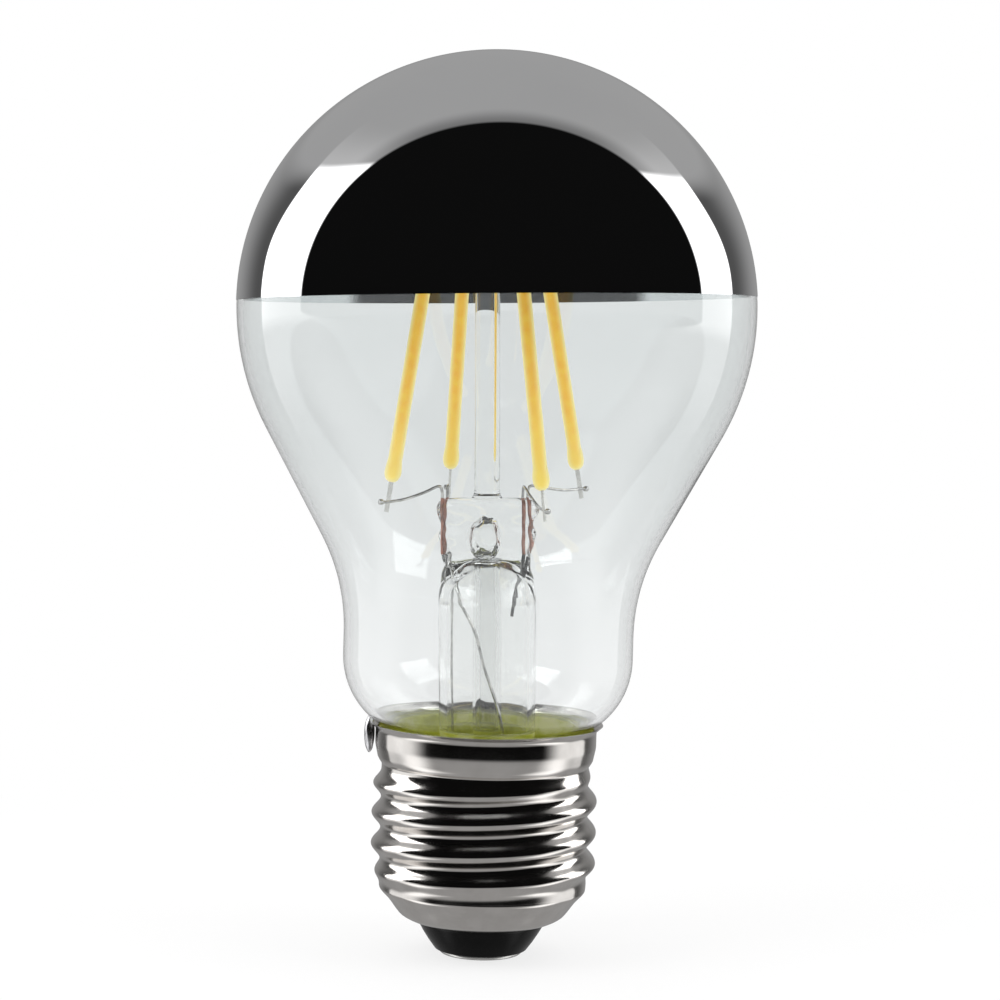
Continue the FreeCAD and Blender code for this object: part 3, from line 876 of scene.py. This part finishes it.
# A flat bar on a filament's axis, broad side across the way to the rod
def barAlong(name, start, along, reach, half):
    outwards = Vector((start.x, start.y, 0)).normalized()
    across = along.cross(outwards).normalized()
    through = across.cross(along).normalized()
    points = []
    for share in reach:
        for wide, deep in ((1, 1), (-1, 1), (-1, -1), (1, -1)):
            points.append(start + along * share + through * half[0] * wide + across * half[1] * deep)
    faces = [(0, 1, 2, 3), (7, 6, 5, 4)]
    faces += [(side, side + 4, (side + 1) % 4 + 4, (side + 1) % 4) for side in range(4)]
    bar = newPiece(name, points, faces)
    joinPoles(bar)
    shadeSmooth(bar.data, False)
    return bar


def buildFilamentMetal(number):
    start, along = filamentAxis(number)
    length = filament["length"]
    inset = filament["inset"]
    reach = (inset, length - inset)
    strip = barAlong("filamentStrip%d" % number, start, along, reach, filament["stripHalf"])
    finishPiece(strip, stripMaterial, "strip", "filament_%d_strip" % number)
    reach = (-filament["pin"], inset)
    lower = barAlong("lowerPin%d" % number, start, along, reach, filament["pinHalf"])
    finishPiece(lower, pinMaterial, "lead_wire", "filament_%d_lower_pin" % number)
    reach = (length - inset, length + filament["pin"])
    upper = barAlong("upperPin%d" % number, start, along, reach, filament["pinHalf"])
    finishPiece(upper, pinMaterial, "lead_wire", "filament_%d_upper_pin" % number)


def buildFilament(number):
    start, along = filamentAxis(number)
    rows = 120
    line = [start + along * filament["length"] * row / rows for row in range(rows + 1)]

    def section(share):
        fromEnd = min(share, 1 - share) * filament["length"]
        swell = filament["swell"]
        if fromEnd < swell:
            t = fromEnd / swell
            rounding = math.sqrt(max(0.0, 1 - (1 - min(1, t * 2.4)) ** 2))
            bulge = math.sin(math.pi * min(1, t)) * (filament["end"] - filament["body"])
            radius = filament["tip"] + (filament["body"] - filament["tip"]) * rounding + bulge
        else:
            radius = filament["body"]
        radius *= 1 + filament["uneven"] * noise.noise(Vector((share * 22, number * 3.7, 0)))
        return radius, radius * filament["flatness"]

    piece = sweptPiece("filamentCoat%d" % number, line, section, 28)
    finishPiece(piece, phosphorMaterial, "phosphor", "filament_%d_phosphor" % number)


for number in range(1, 5):
    buildFilament(number)
    buildFilamentMetal(number)

# Wires

wire = {"radius": 0.165, "stub": 0.1815, "ball": 0.33, "seal": 0.21, "sealLean": 0.08}


def roundSection(radius):
    return lambda share: (radius, radius)


def sealTop(number):
    low, high = [Vector(corner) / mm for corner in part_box("dumet_seal_%d" % number)]
    return Vector(((low.x + high.x) / 2 - wire["sealLean"], (low.y + high.y) / 2, high.z))


def buildInnerLead(number):  # from the press up over a hook and out to a filament's pin
    pin = boxMiddle("filament_%d_lower_pin" % number) + sag
    top = sealTop(number)
    out = Vector((pin.x - top.x, pin.y - top.y, 0)).normalized()
    reach = Vector((pin.x, pin.y, 0)).normalized()
    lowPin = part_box("filament_%d_lower_pin" % number)[0][2] / mm - filament["sag"]
    weld = Vector((pin.x, pin.y, lowPin + 1.2)) + reach * 0.25
    end = weld + reach * 0.7
    points = [
        top - Vector((0, 0, 0.4)),
        top + Vector((0, 0, 0.7)) + out * 0.05,
        top + Vector((0, 0, 1.35)) + out * 0.5,
        top.lerp(weld, 0.35) + Vector((0, 0, 0.75)),
        top.lerp(weld, 0.7) + Vector((0, 0, 0.15)),
        weld,
        end,
    ]
    rod = sweptPiece("leadRod", smoothPath(points, 8), roundSection(wire["radius"]), 12)
    ballLine = [end + reach * wire["ball"] * math.cos(math.pi * (1 - share / 10)) for share in range(11)]

    def ballSection(share):
        radius = wire["ball"] * math.sqrt(max(0.0, 1 - (2 * share - 1) ** 2)) + 0.004
        return radius, radius

    ball = sweptPiece("leadBall", ballLine, ballSection, 16)
    piece = joined("innerLead%d" % number, [rod, ball])
    finishPiece(piece, leadMaterial, "lead_wire", "inner_lead_%d" % number)


def buildSmoothWire(name, node, points, radius, material):
    piece = sweptPiece(name, smoothPath([leaned(point) for point in points], 8), roundSection(radius), 12)
    finishPiece(piece, material, "lead_wire", node)


def buildLink(name, node, first, second):  # wire over the rod's head between two upper pins
    ends = []
    for number in (first, second):
        start, along = filamentAxis(number)
        tip = start + along * (filament["length"] + filament["pin"] - 1.3)
        outwards = Vector((tip.x, tip.y, 0)).normalized()
        side = Vector((-outwards.y, outwards.x, 0)) * (wire["radius"] + 0.06)
        ends.append((tip + side, tip + side + outwards * 0.65))
    (leftWeld, leftEnd), (rightWeld, rightEnd) = ends
    middle = (leftWeld + rightWeld) / 2
    leftBend = leftWeld.lerp(middle, 0.7)
    rightBend = rightWeld.lerp(middle, 0.7)
    points = [leftEnd, leftWeld, leftBend, rightBend, rightWeld, rightEnd]
    piece = sweptPiece(name, smoothPath(points, 8), roundSection(wire["radius"]), 12)
    finishPiece(piece, leadMaterial, "lead_wire", node)


def buildSeal(number):  # copper-clad wire through the press, not quite straight
    low, high = [Vector(corner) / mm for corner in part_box("dumet_seal_%d" % number)]
    foot = Vector(((low.x + high.x) / 2 + wire["sealLean"], (low.y + high.y) / 2, low.z))
    top = sealTop(number)
    points = []
    for level in range(9):
        share = level / 8
        bend = 0.09 * noise.noise(Vector((share * 3.1, number * 5.3, 2)))
        points.append(foot.lerp(top, share) + Vector((bend, bend * 0.4, 0)))
    piece = sweptPiece("sealWire%d" % number, smoothPath(points, 4), roundSection(wire["seal"]), 12)
    finishPiece(piece, dumetMaterial, "dumet", "dumet_seal_%d" % number)


for number in range(1, 5):
    buildSeal(number)
    buildInnerLead(number)
buildLink("upperLink", "link_wire_upper", 1, 4)
buildLink("lowerLink", "link_wire_lower", 3, 2)

leftLead = [
    (-4.75, -0.5, 46.9),
    (-4.6, -0.5, 45.6),
    (-4.15, -0.3, 41.5),
    (-4.15, 0, 30),
    (-4.1, 0, 22.5),
    (-4.3, 0, 12),
    (-4.4, 0, 9.4),
]
crossingLead = [
    (-4.1, 0.5, 46.9),
    (-3.9, 0.2, 45.4),
    (-3.2, -2.0, 42.0),
    (-1.4, -2.5, 38.0),
    (-0.4, -2.45, 34),
    (1.5, -2.45, 27.5),
    (1.7, -2.4, 22),
    (0.5, -2.45, 14.6),
    (0.5, -1.2, 10.5),
    (0.5, -1.2, 9.4),
]
buildSmoothWire("outerLeadLeft", "outer_lead_left", leftLead, wire["radius"], leadMaterial)
buildSmoothWire("outerLeadCrossing", "outer_lead_crossing", crossingLead, wire["radius"], leadMaterial)
rightStub = [(4.5, -0.2, 46.6), (4.2, -0.5, 45.2), (3.5, -0.8, 43.4), (3.0, -0.9, 41.4), (2.75, -0.9, 39.6)]
buildSmoothWire("rightStub", "cut_stub_2", rightStub, wire["stub"], stubMaterial)
print("stage: wires built")

# Frame nodes that stay, with their own finish

kept = {
    "bridge_rectifier": componentMaterial,
    "driver_chip": componentMaterial,
    "smoothing_capacitor": componentMaterial,
    "fuse_resistor": resistorMaterial,
    "driver_board": boardMaterial,
    "mains_lead_side": leadMaterial,
    "mains_lead_centre": leadMaterial,
    "cut_stub_1": stubMaterial,
}
for node, material in kept.items():
    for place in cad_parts[node].material_slots:
        place.material = material

# Floor, world, lamps and camera

stage = {
    "floorHalf": 3.0,
    "floorHeight": -0.0002,
    "shade": (0.9, 0.9, 0.9, 1),
    "roughness": 0.8,
    "shadow": (0.03, 0.12),
    "nearWhite": 0.75,
}


def buildFloor():
    half = stage["floorHalf"]
    mesh = bpy.data.meshes.new("floor")
    height = stage["floorHeight"]
    corners = [(-half, -half, height), (half, -half, height), (half, half, height), (-half, half, height)]
    mesh.from_pydata(corners, [], [(0, 1, 2, 3)])
    floor = bpy.data.objects.new("floor", mesh)
    bpy.context.scene.collection.objects.link(floor)
    material = bpy.data.materials.new("paleFloor")
    material.use_nodes = True
    tree = material.node_tree
    shader = tree.nodes["Principled BSDF"]
    shader.inputs["Base Color"].default_value = stage["shade"]
    shader.inputs["Roughness"].default_value = stage["roughness"]
    glow = tree.nodes.new("ShaderNodeEmission")
    glow.inputs["Strength"].default_value = 1.0
    rays = tree.nodes.new("ShaderNodeLightPath").outputs
    seen = mathNode(tree, "MAXIMUM", rays["Is Camera Ray"], rays["Is Transmission Ray"])
    coordinates = tree.nodes.new("ShaderNodeTexCoord")
    distance = tree.nodes.new("ShaderNodeVectorMath")
    distance.operation = "LENGTH"
    tree.links.new(coordinates.outputs["Object"], distance.inputs[0])
    far = softStep(tree, distance.outputs["Value"], *stage["shadow"])
    share = mathNode(tree, "MULTIPLY", seen, mixValue(tree, far, stage["nearWhite"], 1.0))
    mix = tree.nodes.new("ShaderNodeMixShader")
    tree.links.new(share, mix.inputs["Fac"])
    tree.links.new(shader.outputs["BSDF"], mix.inputs[1])
    tree.links.new(glow.outputs["Emission"], mix.inputs[2])
    tree.links.new(mix.outputs["Shader"], tree.nodes["Material Output"].inputs["Surface"])
    mesh.materials.append(material)
    floor.visible_glossy = False


# Strengths of the room that the mirror and the metal show, the second of a pair where the first fades out
room = {
    "sideWhite": 2.8,
    "sideWhiteLow": 0.95,
    "wall": (0.08, 0.3),
    "roof": (0.17, 0.335),
    "roofGlow": 0.16,
    "table": (0.32, 1.35),
    "darkest": 0.004,
}


# White behind the object, and for its reflections a studio: dark in front, tall lights at both sides
def buildWorld():
    world = bpy.data.worlds.new("studio")
    bpy.context.scene.world = world
    world.use_nodes = True
    tree = world.node_tree
    background = tree.nodes["Background"]
    coordinates = tree.nodes.new("ShaderNodeTexCoord")
    split = tree.nodes.new("ShaderNodeSeparateXYZ")
    tree.links.new(coordinates.outputs["Generated"], split.inputs["Vector"])
    x, y, z = split.outputs["X"], split.outputs["Y"], split.outputs["Z"]
    high = softStep(tree, z, -0.12, -0.03)
    squared = mathNode(tree, "MULTIPLY", z, z)
    limit = mathNode(tree, "MULTIPLY_ADD", squared, -0.147, 0.12)  # edge of the dark front
    limit = mathNode(tree, "MULTIPLY_ADD", x, 0.056, limit)
    limit = mixValue(tree, high, -0.26, limit)
    past = mathNode(tree, "SUBTRACT", y, limit)
    beyond = softStep(tree, mathNode(tree, "DIVIDE", past, mixValue(tree, high, 0.22, 0.015)), -1.0, 1.0)
    outer = mixValue(tree, softStep(tree, z, 0.15, 0.55), 0.562, 0.45)  # far edge of the side lights
    outside = mathNode(tree, "SUBTRACT", y, outer)
    inside = softDrop(tree, outside, -0.012, 0.012)
    crest = mathNode(tree, "MULTIPLY_ADD", y, 0.45, z)
    underRoof = softDrop(tree, crest, 0.71, 0.77)
    glow = softDrop(tree, crest, 0.72, 0.95)
    sideLight = mathNode(tree, "MULTIPLY", inside, underRoof)
    wall = mixValue(tree, softStep(tree, outside, 0.05, 0.42), *room["wall"])
    roof = mixValue(tree, softStep(tree, past, 0.0, 0.16), *room["roof"])
    roof = mathNode(tree, "MULTIPLY_ADD", mathNode(tree, "MULTIPLY", glow, inside), room["roofGlow"], roof)
    rear = mixValue(tree, softStep(tree, crest, 0.66, 0.76), wall, roof)
    sideLevel = mixValue(tree, high, room["sideWhiteLow"], room["sideWhite"])
    around = mixValue(tree, sideLight, rear, sideLevel)
    studio = mathNode(tree, "MULTIPLY", around, beyond)
    sideways = softStep(tree, mathNode(tree, "ABSOLUTE", x), 0.3, 0.42)
    sideways = mathNode(tree, "MULTIPLY", sideways, softStep(tree, y, -0.5, -0.1))
    sideways = mathNode(tree, "MULTIPLY", sideways, softStep(tree, z, -0.9, -0.72))
    sideways = mathNode(tree, "MULTIPLY", sideways, softDrop(tree, y, 0.0, 0.3))
    table = mixValue(tree, sideways, *room["table"])
    studio = mixValue(tree, softDrop(tree, z, -0.52, -0.22), studio, table)
    studio = mathNode(tree, "MAXIMUM", studio, room["darkest"])
    rays = tree.nodes.new("ShaderNodeLightPath").outputs
    plainSeen = mathNode(tree, "MAXIMUM", rays["Is Camera Ray"], rays["Is Transmission Ray"])
    plainSeen = mathNode(tree, "MAXIMUM", plainSeen, rays["Is Diffuse Ray"])
    level = mixValue(tree, plainSeen, studio, 1.0)  # plain white but for what the mirror and metal show
    tree.links.new(level, background.inputs["Strength"])
    background.inputs["Color"].default_value = (1, 1, 1, 1)


lamps = {
    "keyLamp": {"place": (-0.55, -0.35, 0.6), "size": 0.4, "watts": 2.2},
    "fillLamp": {"place": (0.6, -0.2, 0.45), "size": 0.4, "watts": 1.4},
}


def buildLamps():
    for name, lampValues in lamps.items():
        data = bpy.data.lights.new(name, "AREA")
        data.size = lampValues["size"]
        data.energy = lampValues["watts"]
        lamp = bpy.data.objects.new(name, data)
        lamp.location = lampValues["place"]
        aim = Vector((0, 0, 0.05)) - Vector(lampValues["place"])  # at the bulb's middle
        lamp.rotation_euler = aim.to_track_quat("-Z", "Y").to_euler()
        lamp.visible_glossy = False
        bpy.context.scene.collection.objects.link(lamp)


view = {"place": (0.92, -303.0, 70.4), "pitch": 3.3, "lens": 94.36, "sensor": 36, "roll": 1.5}


def buildCamera():
    data = bpy.data.cameras.new("camera")
    data.sensor_width = view["sensor"]
    data.lens = view["lens"]
    data.clip_start = 0.01
    camera = bpy.data.objects.new("camera", data)
    aim = Matrix.Rotation(math.radians(90 - view["pitch"]), 4, "X")
    roll = Matrix.Rotation(math.radians(view["roll"]), 4, "Z")
    camera.matrix_world = Matrix.Translation(Vector(view["place"]) * mm) @ aim @ roll
    bpy.context.scene.collection.objects.link(camera)
    bpy.context.scene.camera = camera


buildFloor()
buildWorld()
buildLamps()
buildCamera()
bpy.context.scene.view_settings.view_transform = "Standard"
print("stage: studio built")
